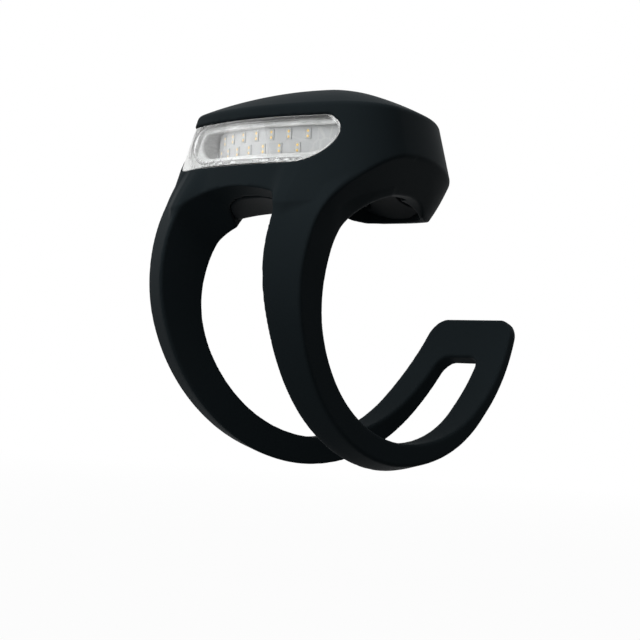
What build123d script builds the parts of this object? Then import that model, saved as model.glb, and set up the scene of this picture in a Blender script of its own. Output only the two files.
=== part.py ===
"""Bicycle tail light in a silicone case whose two legs hook round a bar.

Millimetres. The bar's axis is Y through the origin, the lens looks along -X and the head is up.
"""
import os
from math import cos, hypot, radians, sin, sqrt, tan

from build123d import *

os.makedirs("parts", exist_ok=True)

# Bar seat
seat_radius = 14.5
seat_front_drop = 3.0

# Head: plan outline at the crease between dome and wall, then the heights
front_x = -15.9
rear_x = 11.6
half_width = 17.2
front_radius = 50.0
corner_radius = 5.4
flank_radius = 33.0
rear_radius = 9.5
crease_rise = 8.5
dome_rise = 3.8
dome_steps = (1.0, 0.85, 0.65, 0.45, 0.25, 0.12)
dome_centre_x = -2.5
wall_draft = 15.0
wall_foot_drop = 6.5

# Head: underside chamfers, a cone round the rear and one plane on each side
hip_rise = 1.6
hip_slope = 0.8
hip_front_x = -5.0
hip_least = 0.9
side_cut_x = -9.4
side_cut_side = 4.4
side_cut_drop = 3.3
side_cut_normal = (-0.254, -0.643, 0.722)

# Strap: the legs' inner line is three tangent arcs, measured by the turn of their outward normal
opening_turn = 195.0
sweep_radius = 17.9
hook_turn = 314.5
hook_radius = 30.4
gap_end_turn = 330.5
tip_turn = 341.0
# Each leg section: turn, then inner half width, crease (out, half width), gap edge (out, half width)
leg_sections = [
    (122.0, 12.9, 5.0, 17.4, 6.6, 9.0),
    (137.0, 12.3, 5.6, 16.9, 7.4, 9.5),
    (151.0, 12.6, 5.6, 15.6, 7.8, 10.0),
    (166.0, 12.9, 5.3, 15.0, 7.4, 10.3),
    (195.0, 12.75, 4.4, 14.25, 5.8, 10.0),
    (230.0, 11.6, 3.55, 12.6, 4.5, 9.0),
    (265.0, 10.3, 2.85, 10.8, 3.7, 7.6),
    (300.0, 9.9, 2.05, 9.95, 2.85, 5.7),
    (322.0, 9.2, 1.5, 9.05, 2.15, 4.2),
    (tip_turn, 7.5, 1.3, 7.35, 1.85, 2.9),
]

# Joint of the strap: the legs are cut level here and open about the outer edge of the cut
strap_cut_z = -1.0
strap_cut_gap = 0.3
strap_overlap = 0.2
tip_corner = 2.4

# Walls and clearances, each measured inwards from the outside of the case
skin = 1.5
fit = 0.1
shell_wall = 1.2
floor_step = 0.5
floor_wall = 1.3
cover_wall = 0.7
seal_gap = 0.3
seal_fit = 0.03
seal_width = 0.7

# Window in the front of the head
window_foot_rise = 1.0
window_head_drop = 1.4
window_side = 2.7
window_top_run = 2.7
window_low_run = 5.7
window_end_drop = 3.7
window_depth = 7.8
lens_recess = 0.15
lens_flange = 0.7
lens_flange_thick = 0.5
lens_seal_thick = 0.25
lens_rebate = 0.8
window_ledge = 0.3

# Lamp behind the window: a curved board with two staggered rows of packages
lamp_depth = 2.2
lamp_radius = 28.0
lamp_board_thick = 0.6
lamp_foot_rise = 1.2
lamp_head_drop = 2.5
lamp_end = 4.2
led_count = 7
led_pitch = 2.9
led_shift = 1.45
led_stagger = 1.45
led_upper_drop = 1.0
led_lower_rise = 2.1
led_wide = 0.9
led_tall = 1.3
led_thick = 0.5
emitter_radius = 0.18
emitter_spread = 0.33
emitter_thick = 0.06
bezel_gap = 0.05
bezel_wall = 0.8
carrier_wall = 0.9
carrier_gap = 0.1
carrier_end = 5.8
header_half = 3.0
header_tall = 0.7
header_setback = 0.9
header_long = 1.6

# Cover of the underside: outline of its plug, then its two screws
cover_front_depth = 3.5
cover_front_side = 9.8
cover_wide_x = -5.5
cover_wide_side = 7.0
cover_rear_depth = 3.4
cover_rear_margin = 2.2
cover_corner = 2.4
cover_rim = 1.2
screw_depth = 5.6
screw_socket_gap = 0.4
screw_head_radius = 1.1
screw_head_height = 0.7
screw_radius = 0.6
screw_clearance = 0.15
screw_recess = 0.85
screw_length = 5.0
screw_socket_radius = 0.45
screw_socket_depth = 0.4
recess_long = 4.2
recess_wide = 2.8
cover_boss_radius = 1.9
cover_boss_height = 1.7
shell_boss_radius = 1.3
shell_boss_gap = 0.1

# Battery, tape and main board, one above the other
battery_x = (-8.2, 3.3)
battery_side = 10.2
battery_gap = 0.4
battery_thick = 3.0
battery_edge = 0.5
tape_thick = 0.4
tape_margin = 0.8
board_thick = 0.8
board_inset = 4.3
board_lamp_gap = 1.5
post_x = -7.5
post_side = 7.4
post_radius = 1.4
post_screw_radius = 0.6
post_screw_head = 1.1
post_screw_head_height = 0.6
post_screw_depth = 1.6
lead_radius = 0.35
lead_inset = 1.4
lead_reach = 0.9
lead_bend = 0.6

# Charging socket under the board's rear edge
socket_depth = 3.0
socket_long = 4.8
socket_half = 3.5
socket_tall = 2.4
socket_wall = 0.3
tongue_half = 2.2
tongue_thick = 0.6
tongue_long = 3.9
socket_slot_gap = 0.3

# Push button under the dome
button_x = dome_centre_x
switch_side = 3.4
switch_tall = 1.1
stem_radius = 0.8
stem_proud = 0.45
stem_depth = 0.5
running_fit = 0.05
plunger_flange_radius = 2.5
plunger_flange_thick = 0.6
plunger_radius = 1.8
plunger_skin_gap = 0.35
button_travel = 0.3
button_seal_width = 0.5
button_seal_thick = 0.3
button_seal_drop = 0.12

# Chips on top of the board: x, y, length, width, height
controller_chip_box = (-6.6, 4.6, 3.0, 3.0, 0.8)
charge_chip_box = (2.9, -4.6, 2.0, 2.0, 0.7)
inductor_box = (1.8, 3.6, 2.4, 2.4, 0.9)
passive_size = (0.5, 1.0, 0.4)
passive_spots = [
    (-6.6, -3.0), (-6.6, -4.6), (-5.2, -3.0), (-5.2, -4.6), (-0.6, -6.4), (0.6, -6.4), (0.6, 6.6),
]
chip_lift = 0.02


# Values that follow from the ones above
crease_z = seat_radius + crease_rise
hip_z = seat_radius + hip_rise
wall_foot_z = seat_radius - wall_foot_drop
side_cut_point = (side_cut_x, half_width - side_cut_side, seat_radius - side_cut_drop)
module_inset = skin + fit
cavity_inset = module_inset + shell_wall
seat_front_z = seat_radius - seat_front_drop
cover_radius = seat_radius + floor_step
cover_front_z = seat_front_z + floor_step
module_radius = seat_radius + module_inset
module_front_z = seat_front_z + module_inset
parting_radius = module_radius + cover_wall
parting_front_z = module_front_z + cover_wall
window_low_z = seat_radius + window_foot_rise
window_high_z = crease_z - window_head_drop
window_end_z = crease_z - window_end_drop
window_rear_x = front_x + window_depth
socket_rear_x = rear_x - socket_depth
socket_front_x = socket_rear_x - socket_long
screw_x = rear_x - screw_depth
screw_y = socket_half + screw_socket_gap + shell_boss_radius
screw_seat_z = sqrt(cover_radius**2 - screw_x**2) + screw_recess
screw_top_z = screw_seat_z + screw_length
cover_boss_high_z = screw_seat_z + cover_boss_height
shell_boss_low_z = cover_boss_high_z + shell_boss_gap
battery_half = half_width - battery_side
lead_y = battery_half - lead_inset
post_y = half_width - post_side
battery_low_z = cover_radius + floor_wall + battery_gap
battery_high_z = battery_low_z + battery_thick
board_low_z = battery_high_z + tape_thick
board_high_z = board_low_z + board_thick
lamp_x = front_x + lamp_depth
lamp_centre_x = lamp_x + lamp_radius
lamp_half = half_width - lamp_end
lamp_low_z = seat_radius + lamp_foot_rise
lamp_high_z = crease_z - lamp_head_drop
led_rows = (
    (lamp_high_z - led_upper_drop, led_shift),
    (lamp_low_z + led_lower_rise, led_shift + led_stagger),
)
carrier_half = half_width - carrier_end
header_low_z = board_low_z - header_tall
header_x = lamp_x + header_setback
carrier_high_z = header_low_z - carrier_gap
switch_high_z = board_high_z + chip_lift + switch_tall
dome_top_z = crease_z + dome_rise * (1 - dome_steps[-1] ** 2)
shell_dome_z = dome_top_z - cavity_inset


def towards(start, end):
    """Unit vector in plan from one point to another."""
    length = hypot(end[0] - start[0], end[1] - start[1])
    return (end[0] - start[0]) / length, (end[1] - start[1]) / length


def plan_centres():
    """Centres of the corner, flank and rear arcs on the +Y side, from their tangencies."""
    front = (front_x + front_radius, 0.0)
    corner_y = half_width - corner_radius
    corner = (front[0] - sqrt((front_radius - corner_radius) ** 2 - corner_y**2), corner_y)
    rear = (rear_x - rear_radius, 0.0)
    reach_corner = flank_radius - corner_radius
    reach_rear = flank_radius - rear_radius
    apart = hypot(rear[0] - corner[0], rear[1] - corner[1])
    along = (reach_corner**2 - reach_rear**2 + apart**2) / (2 * apart)
    across = sqrt(reach_corner**2 - along**2)
    ux, uy = towards(corner, rear)
    flank = (corner[0] + along * ux + across * uy, corner[1] + along * uy - across * ux)
    return front, corner, flank, rear


def plan_outline(z, grow=0.0, scale=1.0):
    """Head outline at height z, grown outwards, or scaled about the dome's centre."""
    front, corner, flank, rear = plan_centres()

    def on_circle(centre, radius, direction):
        x = centre[0] + (radius + grow) * direction[0]
        y = centre[1] + (radius + grow) * direction[1]
        return dome_centre_x + scale * (x - dome_centre_x), scale * y

    def between(first, second):
        return towards((0, 0), (first[0] + second[0], first[1] + second[1]))

    to_corner = towards(front, corner)
    to_flank = towards(flank, corner)
    to_rear = towards(flank, rear)
    marks = [
        on_circle(front, front_radius, (-1, 0)),
        on_circle(front, front_radius, to_corner),
        on_circle(corner, corner_radius, between(to_corner, to_flank)),
        on_circle(flank, flank_radius, to_flank),
        on_circle(flank, flank_radius, between(to_flank, to_rear)),
        on_circle(flank, flank_radius, to_rear),
        on_circle(rear, rear_radius, (1, 0)),
    ]
    far = [(x, -y) for x, y in marks]
    with BuildSketch(Plane.XY.offset(z)) as outline:
        with BuildLine():
            ThreePointArc(far[1], marks[0], marks[1])
            ThreePointArc(marks[1], marks[2], marks[3])
            ThreePointArc(marks[3], marks[4], marks[5])
            ThreePointArc(marks[5], marks[6], far[5])
            ThreePointArc(far[5], far[4], far[3])
            ThreePointArc(far[3], far[2], far[1])
        make_face()
    return outline.sketch


def wall_grow(z):
    """How far the drafted wall stands outside the crease outline at height z."""
    return (crease_z - z) * tan(radians(wall_draft))


def wall_block(inset, low_z, high_z):
    """Everything inside the drafted wall, inset by that much, between two heights."""
    with BuildPart() as block:
        loft([plan_outline(low_z, wall_grow(low_z) - inset), plan_outline(high_z, wall_grow(high_z) - inset)])
    return block.part


def head_form(inset):
    """The head's outside form, or one shrunk inwards by the inset, still with its full underside."""
    top_z = crease_z - inset
    top_grow = wall_grow(top_z) - inset
    hip_low_z = wall_foot_z
    hip_grow = wall_grow(hip_z) - inset

    def hip(z):
        return hip_grow + hip_slope * (z - hip_z)

    with BuildPart() as dome:
        loft([plan_outline(top_z + dome_rise * (1 - s * s), top_grow, s) for s in dome_steps])
    with BuildPart() as hips:
        low_outline = plan_outline(hip_low_z, max(hip(hip_low_z), -hip_least * corner_radius))
        loft([low_outline, plan_outline(crease_z, hip(crease_z))])
        with BuildSketch(Plane.XY.offset(wall_foot_z)):
            with Locations((hip_front_x, 0)):
                Rectangle(4 * half_width, 4 * half_width, align=(Align.MAX, Align.CENTER))
        extrude(amount=crease_z - wall_foot_z)
    with BuildPart() as form:
        add(wall_block(inset, wall_foot_z, top_z))
        add(hips.part, mode=Mode.INTERSECT)
        for side in (1, -1):
            x, y, z = side_cut_point
            nx, ny, nz = side_cut_normal
            cut = Plane(origin=(x, side * y, z), z_dir=(nx, side * ny, nz)).offset(inset)
            split(bisect_by=cut, keep=Keep.TOP)
        add(dome.part)
    return form.part


def under_floor(radius, front_z):
    """Space below a floor: a cylinder on the bar's axis, and in front of it all below a level."""
    with BuildPart() as space:
        with BuildSketch(Plane.XZ.offset(-2 * half_width)):
            Circle(radius)
            with Locations((0, front_z)):
                Rectangle(3 * half_width, 2 * radius, align=(Align.MAX, Align.MAX))
        extrude(amount=4 * half_width)
    return space.part


def window_block(grow):
    """The window's outline, grown by a margin, pushed through the front of the head."""
    with BuildPart() as block:
        with BuildSketch(Plane.YZ.offset(2 * front_x)):
            with BuildLine():
                low = window_low_z - grow
                high = window_high_z + grow
                end = half_width - window_side + grow
                top_run = half_width - window_side - window_top_run
                low_run = half_width - window_side - window_low_run
                right_top = Spline((top_run, high), (end, window_end_z), tangents=[(1, 0), (0, -1)])
                right_low = Spline((end, window_end_z), (low_run, low), tangents=[(0, -1), (-1, 0)])
                Line((low_run, low), (-low_run, low))
                mirror(right_low, about=Plane.YZ)
                mirror(right_top, about=Plane.YZ)
                Line((-top_run, high), (top_run, high))
            make_face()
        extrude(amount=window_rear_x - 2 * front_x)
    return block.part


def strap_frame(turn):
    """Point of the strap's inner line where its outward normal has this turn, and that normal."""
    def unit(angle):
        return cos(radians(angle)), sin(radians(angle))

    opening = unit(opening_turn)
    hook = unit(hook_turn)
    x, z, radius = 0.0, 0.0, seat_radius
    if turn > opening_turn:
        x -= (sweep_radius - seat_radius) * opening[0]
        z -= (sweep_radius - seat_radius) * opening[1]
        radius = sweep_radius
    if turn > hook_turn:
        x -= (hook_radius - sweep_radius) * hook[0]
        z -= (hook_radius - sweep_radius) * hook[1]
        radius = hook_radius
    normal = unit(turn)
    return (x + radius * normal[0], 0, z + radius * normal[1]), (normal[0], 0, normal[1])


def strap_plane(turn):
    """Section plane of the strap: its x runs outwards from the bar and its y is the part's Y."""
    origin, normal = strap_frame(turn)
    return Plane(origin=origin, x_dir=normal, z_dir=(-normal[2], 0, normal[0]))


def leg_section_at(turn):
    """Leg sizes at a turn, straight between the listed sections."""
    for first, second in zip(leg_sections, leg_sections[1:]):
        if first[0] <= turn <= second[0]:
            share = (turn - first[0]) / (second[0] - first[0])
            return [a + share * (b - a) for a, b in zip(first, second)]


def cover_outline(grow):
    """Outline of the cover's plug in plan, grown by a margin."""
    side = [
        (front_x + cover_front_depth, half_width - cover_front_side),
        (cover_wide_x, half_width - cover_wide_side),
        (rear_x - cover_rear_depth, screw_y + cover_rear_margin),
    ]
    far = [(x, -y) for x, y in reversed(side)]
    with BuildSketch() as outline:
        with BuildLine():
            Polyline(*side, *far, close=True)
        make_face()
        fillet(outline.vertices(), cover_corner)
        offset(amount=grow)
    return outline.sketch


def lamp_arc(radius, thickness, half, low_z, high_z):
    """Upright strip concentric with the lamp board, thickness measured inwards from the radius."""
    with BuildPart() as strip:
        with BuildSketch(Plane.XY.offset(low_z)):
            with Locations((lamp_centre_x, 0)):
                Circle(radius)
                Circle(radius - thickness, mode=Mode.SUBTRACT)
            with Locations((lamp_centre_x, 0)):
                Rectangle(2 * radius, 2 * half, align=(Align.MAX, Align.CENTER), mode=Mode.INTERSECT)
        extrude(amount=high_z - low_z)
    return strip.part


def lamp_place(run, z):
    """Place on the lamp board's front face, at a run along its curve, facing outwards."""
    angle = run / lamp_radius
    outward = (-cos(angle), sin(angle), 0)
    point = (lamp_centre_x + lamp_radius * outward[0], lamp_radius * outward[1], z)
    return Plane(origin=point, x_dir=(sin(angle), cos(angle), 0), z_dir=outward)


def chip(box):
    """Plain chip body standing just above the board."""
    x, y, length, width, height = box
    with BuildPart(Plane.XY.offset(board_high_z + chip_lift)) as body:
        with Locations((x, y)):
            Box(length, width, height, align=(Align.CENTER, Align.CENTER, Align.MIN))
        fillet(body.edges().filter_by(Axis.Z), 0.15)
        fillet(body.faces().sort_by(Axis.Z)[-1].edges(), 0.08)
    return body.part


# Silicone case in one piece, before the cut that stands in for its flexing
with BuildPart() as leg:
    for turn, inner, crease_out, crease, gap_out, gap in leg_sections:
        with BuildSketch(strap_plane(turn)):
            with BuildLine():
                Polyline((0, inner), (crease_out, crease), (gap_out, gap), (0, gap), close=True)
            make_face()
    loft()

with BuildPart() as hook_bar:
    for turn in (gap_end_turn, (gap_end_turn + tip_turn) / 2, tip_turn):
        gap_out, gap = leg_section_at(turn)[-2:]
        with BuildSketch(strap_plane(turn)):
            with Locations((gap_out / 2, 0)):
                Rectangle(gap_out, 2 * (gap + strap_overlap))
    loft()

with BuildPart() as case:
    add(head_form(0.0))
    add(under_floor(seat_radius, seat_front_z), mode=Mode.SUBTRACT)
    add(leg.part)
    mirror(leg.part, about=Plane.XZ)
    add(hook_bar.part)
    with BuildSketch(Plane.XZ.offset(-2 * half_width)):
        Circle(seat_radius)
    extrude(amount=4 * half_width, mode=Mode.SUBTRACT)
    add(head_form(skin).cut(under_floor(seat_radius + skin, seat_front_z + skin)), mode=Mode.SUBTRACT)
    with BuildSketch(Plane.XY.offset(wall_foot_z)):
        add(cover_outline(fit))
    extrude(amount=crease_z - wall_foot_z - dome_rise, mode=Mode.SUBTRACT)
    add(window_block(0.0), mode=Mode.SUBTRACT)
    with Locations((0, 0, strap_cut_z)):
        Box(2 * half_width, 4 * half_width, strap_cut_gap, align=(Align.MAX, Align.CENTER, Align.CENTER),
            mode=Mode.SUBTRACT)

with BuildPart() as silicone_strap:
    add(case.part.solids().sort_by(Axis.Z)[0])
    tip_plane = strap_plane(tip_turn)
    on_tip = [e for e in silicone_strap.edges() if abs(tip_plane.to_local_coords(e.center()).Z) < 0.01]
    fillet([e for e in on_tip if abs(e.center().Y) > leg_sections[-1][3]], tip_corner)
silicone_strap.part.label = "silicone_strap"
export_step(silicone_strap.part, "parts/silicone_strap.step")

with BuildPart() as silicone_body:
    add(case.part.solids().sort_by(Axis.Z)[-1])
silicone_body.part.label = "silicone_body"
export_step(silicone_body.part, "parts/silicone_body.step")


# Clear window: a flush face inside the case's opening and a flange behind it
with BuildPart() as lens:
    add(head_form(lens_recess))
    add(window_block(-fit), mode=Mode.INTERSECT)
    with BuildPart(mode=Mode.PRIVATE) as lens_back:
        add(head_form(module_inset))
        add(window_block(lens_flange), mode=Mode.INTERSECT)
    add(lens_back.part)
    add(head_form(module_inset + lens_flange_thick), mode=Mode.SUBTRACT)
lens.part.label = "lens"
export_step(lens.part, "parts/lens.step")

# Gasket ring between the window's flange and the ledge of the upper shell
with BuildPart() as lens_seal:
    add(head_form(module_inset + lens_flange_thick))
    add(window_block(lens_flange), mode=Mode.INTERSECT)
    add(window_block(window_ledge), mode=Mode.SUBTRACT)
    add(head_form(module_inset + lens_flange_thick + lens_seal_thick), mode=Mode.SUBTRACT)
lens_seal.part.label = "lens_seal"
export_step(lens_seal.part, "parts/lens_seal.step")


# Upper shell: walls and dome of the rigid module, with its bosses and openings
with BuildPart() as top_shell:
    add(head_form(module_inset))
    add(head_form(cavity_inset), mode=Mode.SUBTRACT)
    with BuildPart(mode=Mode.PRIVATE) as shell_bosses:
        with BuildSketch(Plane.XY.offset(shell_boss_low_z)):
            with Locations((screw_x, screw_y), (screw_x, -screw_y)):
                Circle(shell_boss_radius)
        extrude(amount=shell_dome_z - shell_boss_low_z)
        with BuildSketch(Plane.XY.offset(board_high_z)):
            with Locations((post_x, post_y), (post_x, -post_y)):
                Circle(post_radius)
        extrude(amount=shell_dome_z - board_high_z)
        add(head_form(module_inset), mode=Mode.INTERSECT)
    add(shell_bosses.part)
    add(under_floor(parting_radius + seal_gap, parting_front_z + seal_gap), mode=Mode.SUBTRACT)
    with BuildSketch(Plane.XY.offset(shell_boss_low_z)):
        with Locations((screw_x, screw_y), (screw_x, -screw_y)):
            Circle(screw_radius + running_fit)
    extrude(amount=screw_top_z + screw_clearance - shell_boss_low_z, mode=Mode.SUBTRACT)
    with BuildSketch(Plane.XY.offset(board_high_z)):
        with Locations((post_x, post_y), (post_x, -post_y)):
            Circle(post_screw_radius + running_fit)
    extrude(amount=post_screw_depth + screw_clearance, mode=Mode.SUBTRACT)
    add(window_block(window_ledge), mode=Mode.SUBTRACT)
    add(window_block(lens_rebate).cut(head_form(module_inset + lens_flange_thick + lens_seal_thick)),
        mode=Mode.SUBTRACT)
    with BuildSketch(Plane.XY.offset(board_high_z)):
        with Locations((button_x, 0)):
            Circle(plunger_radius + running_fit)
    extrude(amount=dome_top_z - board_high_z, mode=Mode.SUBTRACT)
    with BuildSketch(Plane.YZ.offset(socket_front_x)):
        with Locations((0, board_low_z - socket_tall / 2)):
            Rectangle(2 * (socket_half + socket_slot_gap), socket_tall + 2 * socket_slot_gap)
    extrude(amount=2 * rear_x, mode=Mode.SUBTRACT)
top_shell.part.label = "top_shell"
export_step(top_shell.part, "parts/top_shell.step")


# Underside cover: a floor under the whole module with a plug that fills the case's opening
with BuildPart() as base_cover:
    add(head_form(module_inset))
    add(under_floor(module_radius, module_front_z), mode=Mode.SUBTRACT)
    add(under_floor(parting_radius, parting_front_z), mode=Mode.INTERSECT)
    with BuildPart(mode=Mode.PRIVATE) as cover_plug:
        with BuildSketch(Plane.XY.offset(wall_foot_z)):
            add(cover_outline(0.0))
        extrude(amount=battery_low_z - wall_foot_z)
        add(under_floor(cover_radius, cover_front_z), mode=Mode.SUBTRACT)
        add(under_floor(parting_radius, parting_front_z), mode=Mode.INTERSECT)
    add(cover_plug.part)
    with BuildPart(mode=Mode.PRIVATE) as cover_well:
        with BuildSketch(Plane.XY.offset(wall_foot_z)):
            add(cover_outline(-cover_rim))
        extrude(amount=board_low_z - wall_foot_z)
        add(under_floor(cover_radius + floor_wall, cover_front_z + floor_wall), mode=Mode.SUBTRACT)
    add(cover_well.part, mode=Mode.SUBTRACT)
    with BuildPart(mode=Mode.PRIVATE) as cover_bosses:
        with BuildSketch(Plane.XY.offset(wall_foot_z)):
            with Locations((screw_x, screw_y), (screw_x, -screw_y)):
                Circle(cover_boss_radius)
        extrude(amount=cover_boss_high_z - wall_foot_z)
        add(under_floor(cover_radius, cover_front_z), mode=Mode.SUBTRACT)
        add(head_form(cavity_inset + running_fit), mode=Mode.INTERSECT)
    add(cover_bosses.part)
    with BuildSketch(Plane.XY.offset(wall_foot_z)):
        with Locations(*[Location((screw_x, side * screw_y, 0), (0, 0, 90)) for side in (1, -1)]):
            SlotOverall(recess_long, recess_wide)
    extrude(amount=screw_seat_z - wall_foot_z, mode=Mode.SUBTRACT)
    with BuildSketch(Plane.XY.offset(wall_foot_z)):
        with Locations((screw_x, screw_y), (screw_x, -screw_y)):
            Circle(screw_radius + screw_clearance)
    extrude(amount=board_low_z - wall_foot_z, mode=Mode.SUBTRACT)
base_cover.part.label = "base_cover"
export_step(base_cover.part, "parts/base_cover.step")


# Gasket ring between the shell and the cover
with BuildPart() as base_seal:
    add(head_form(module_inset + fit))
    add(head_form(module_inset + fit + seal_width), mode=Mode.SUBTRACT)
    add(under_floor(parting_radius + seal_fit, parting_front_z + seal_fit), mode=Mode.SUBTRACT)
    add(under_floor(parting_radius + seal_gap - seal_fit, parting_front_z + seal_gap - seal_fit),
        mode=Mode.INTERSECT)
base_seal.part.label = "base_seal"
export_step(base_seal.part, "parts/base_seal.step")


# Lamp: board, packages with two emitters each, the rim from board to window and the carrier behind
with BuildPart() as lamp_board:
    add(lamp_arc(lamp_radius, lamp_board_thick, lamp_half, lamp_low_z, lamp_high_z))
lamp_board.part.label = "lamp_board"
export_step(lamp_board.part, "parts/lamp_board.step")

led_places = [
    lamp_place((spot - (led_count - 1) / 2) * led_pitch + row_shift, row_z)
    for row_z, row_shift in led_rows
    for spot in range(led_count)
]

with BuildPart() as led_packages:
    for place in led_places:
        with BuildSketch(place.offset(chip_lift)):
            Rectangle(led_wide, led_tall)
        extrude(amount=led_thick)
led_packages.part.label = "led_packages"
export_step(led_packages.part, "parts/led_packages.step")

with BuildPart() as led_emitters:
    for place in led_places:
        with BuildSketch(place.offset(chip_lift + led_thick)):
            with Locations((0, -emitter_spread), (0, emitter_spread)):
                Circle(emitter_radius)
        extrude(amount=emitter_thick)
led_emitters.part.label = "led_emitters"
export_step(led_emitters.part, "parts/led_emitters.step")

with BuildPart() as lamp_bezel:
    add(head_form(module_inset + lens_flange_thick + running_fit))
    add(window_block(window_ledge - fit), mode=Mode.INTERSECT)
    add(window_block(window_ledge - fit - bezel_wall), mode=Mode.SUBTRACT)
    with BuildSketch(Plane.XY.offset(wall_foot_z)):
        with Locations((lamp_centre_x, 0)):
            Circle(lamp_radius + bezel_gap)
    extrude(amount=crease_z - wall_foot_z, mode=Mode.SUBTRACT)
lamp_bezel.part.label = "lamp_bezel"
export_step(lamp_bezel.part, "parts/lamp_bezel.step")

with BuildPart() as lamp_carrier:
    add(lamp_arc(lamp_radius - lamp_board_thick - chip_lift, carrier_wall, carrier_half,
                 module_front_z, carrier_high_z))
    add(under_floor(parting_radius + chip_lift, parting_front_z + chip_lift), mode=Mode.SUBTRACT)
lamp_carrier.part.label = "lamp_carrier"
export_step(lamp_carrier.part, "parts/lamp_carrier.step")

with BuildPart() as lamp_header:
    with BuildSketch(Plane.XY.offset(header_low_z)):
        with Locations((header_x, 0)):
            Rectangle(header_long, 2 * header_half, align=(Align.MIN, Align.CENTER))
    extrude(amount=board_low_z - chip_lift - header_low_z)
lamp_header.part.label = "lamp_header"
export_step(lamp_header.part, "parts/lamp_header.step")


# Main board with its screws
with BuildPart() as main_board:
    add(wall_block(board_inset, board_low_z, board_high_z))
    with BuildSketch(Plane.XY.offset(board_low_z)):
        with Locations((lamp_centre_x, 0)):
            Circle(lamp_radius - board_lamp_gap)
    extrude(amount=board_thick, mode=Mode.INTERSECT)
    with BuildSketch(Plane.XY.offset(board_low_z)):
        with Locations((screw_x, screw_y), (screw_x, -screw_y)):
            Circle(shell_boss_radius + fit)
        with Locations((post_x, post_y), (post_x, -post_y)):
            Circle(post_screw_radius + screw_clearance)
    extrude(amount=board_thick, mode=Mode.SUBTRACT)
main_board.part.label = "main_board"
export_step(main_board.part, "parts/main_board.step")


def screw(head_low_z, head_radius, head_height, shank_radius, top_z):
    """Pan-head screw standing head down, with a six-sided socket in its head."""
    with BuildPart(Plane.XY.offset(head_low_z)) as body:
        Cylinder(head_radius, head_height, align=(Align.CENTER, Align.CENTER, Align.MIN))
        fillet(body.edges().sort_by(Axis.Z)[0], head_height / 3)
        with BuildSketch(Plane.XY.offset(head_low_z + head_height)):
            Circle(shank_radius)
        extrude(amount=top_z - head_low_z - head_height)
        chamfer(body.edges().sort_by(Axis.Z)[-1], shank_radius / 3)
        with BuildSketch(Plane.XY.offset(head_low_z)):
            RegularPolygon(screw_socket_radius, 6)
        extrude(amount=screw_socket_depth, mode=Mode.SUBTRACT)
    return body.part


for place, side in (("left", -1), ("right", 1)):
    with BuildPart() as cover_screw:
        with Locations((screw_x, side * screw_y, 0)):
            add(screw(screw_seat_z - screw_head_height, screw_head_radius, screw_head_height, screw_radius,
                      screw_top_z))
    cover_screw.part.label = f"cover_screw_{place}"
    export_step(cover_screw.part, f"parts/cover_screw_{place}.step")

    with BuildPart() as board_screw:
        with Locations((post_x, side * post_y, 0)):
            add(screw(board_low_z - post_screw_head_height, post_screw_head, post_screw_head_height,
                      post_screw_radius, board_high_z + post_screw_depth))
    board_screw.part.label = f"board_screw_{place}"
    export_step(board_screw.part, f"parts/board_screw_{place}.step")


# Battery cell, foam tape and leads
battery_middle_x = (battery_x[0] + battery_x[1]) / 2
battery_length = battery_x[1] - battery_x[0]

with BuildPart() as battery_cell:
    with Locations((battery_middle_x, 0, battery_low_z)):
        Box(battery_length, 2 * battery_half, battery_thick, align=(Align.CENTER, Align.CENTER, Align.MIN))
    fillet(battery_cell.edges(), battery_edge)
battery_cell.part.label = "battery_cell"
export_step(battery_cell.part, "parts/battery_cell.step")

with BuildPart() as battery_tape:
    with Locations((battery_middle_x, 0, battery_high_z)):
        Box(battery_length - 2 * tape_margin, 2 * (battery_half - tape_margin), tape_thick,
            align=(Align.CENTER, Align.CENTER, Align.MIN))
battery_tape.part.label = "battery_tape"
export_step(battery_tape.part, "parts/battery_tape.step")

for place, side in (("positive", 1), ("negative", -1)):
    lead_low_z = battery_low_z + battery_thick / 2
    with BuildPart() as lead:
        with BuildLine(Plane.XZ.offset(-side * lead_y)):
            FilletPolyline((battery_x[0], lead_low_z), (battery_x[0] - lead_reach, lead_low_z),
                           (battery_x[0] - lead_reach, board_low_z), radius=lead_bend)
        with BuildSketch(Plane(origin=(battery_x[0], side * lead_y, lead_low_z), z_dir=(-1, 0, 0))):
            Circle(lead_radius)
        sweep()
    lead.part.label = f"lead_{place}"
    export_step(lead.part, f"parts/lead_{place}.step")


# Charging socket: folded shield open at the rear, and the contact tongue in it
with BuildPart() as socket_shield:
    with BuildSketch(Plane.YZ.offset(socket_front_x)):
        with Locations((0, board_low_z - chip_lift - socket_tall / 2)):
            RectangleRounded(2 * socket_half, socket_tall, socket_tall / 4)
    extrude(amount=socket_long)
    with BuildSketch(Plane.YZ.offset(socket_front_x + socket_wall)):
        with Locations((0, board_low_z - chip_lift - socket_tall / 2)):
            RectangleRounded(2 * (socket_half - socket_wall), socket_tall - 2 * socket_wall, socket_tall / 8)
    extrude(amount=socket_long, mode=Mode.SUBTRACT)
socket_shield.part.label = "socket_shield"
export_step(socket_shield.part, "parts/socket_shield.step")

with BuildPart() as socket_tongue:
    with Locations((socket_front_x + socket_wall, 0, board_low_z - chip_lift - socket_tall / 2)):
        Box(tongue_long, 2 * tongue_half, tongue_thick,
            align=(Align.MIN, Align.CENTER, Align.CENTER))
    fillet(socket_tongue.faces().sort_by(Axis.X)[-1].edges(), tongue_thick / 4)
socket_tongue.part.label = "socket_tongue"
export_step(socket_tongue.part, "parts/socket_tongue.step")


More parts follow.
